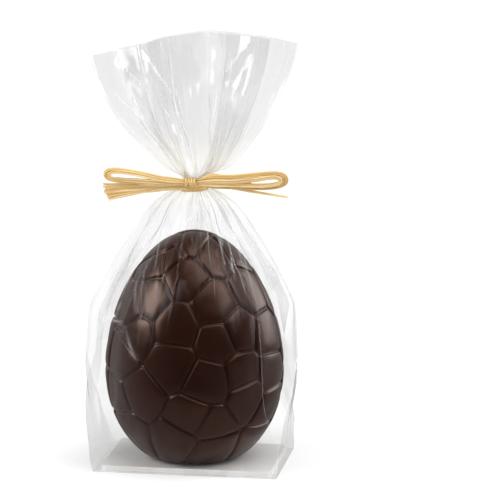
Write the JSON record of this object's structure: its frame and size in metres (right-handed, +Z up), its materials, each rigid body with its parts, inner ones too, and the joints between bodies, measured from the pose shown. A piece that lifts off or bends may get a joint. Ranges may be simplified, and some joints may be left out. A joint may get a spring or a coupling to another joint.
{
  "type": "chocolate egg",
  "caption": "Dark chocolate egg with a crackle relief, standing on a card in a clear block-bottom bag tied with a raffia bow.",
  "frame": {"origin": "on the surface that the card lies on, under the middle of the bag", "axes": "+Z up through the neck of the bag; -Y towards the front, where the bow is; +X to the right, along the wide side of the base"},
  "size_m": [0.1172, 0.1004, 0.2383],
  "materials": {
    "chocolate": "satin dark chocolate",
    "film": "clear glossy packaging film",
    "board": "matte white board",
    "raffia": "straw-coloured natural raffia"
  },
  "bodies": {
    "root": {"egg": "chocolate", "bag": "film", "card": "board", "raffia_band": "raffia", "raffia_knot": "raffia", "raffia_loop_left": "raffia", "raffia_loop_right": "raffia", "raffia_tails_left": "raffia", "raffia_tail_right": "raffia"}
  },
  "joints": []
}
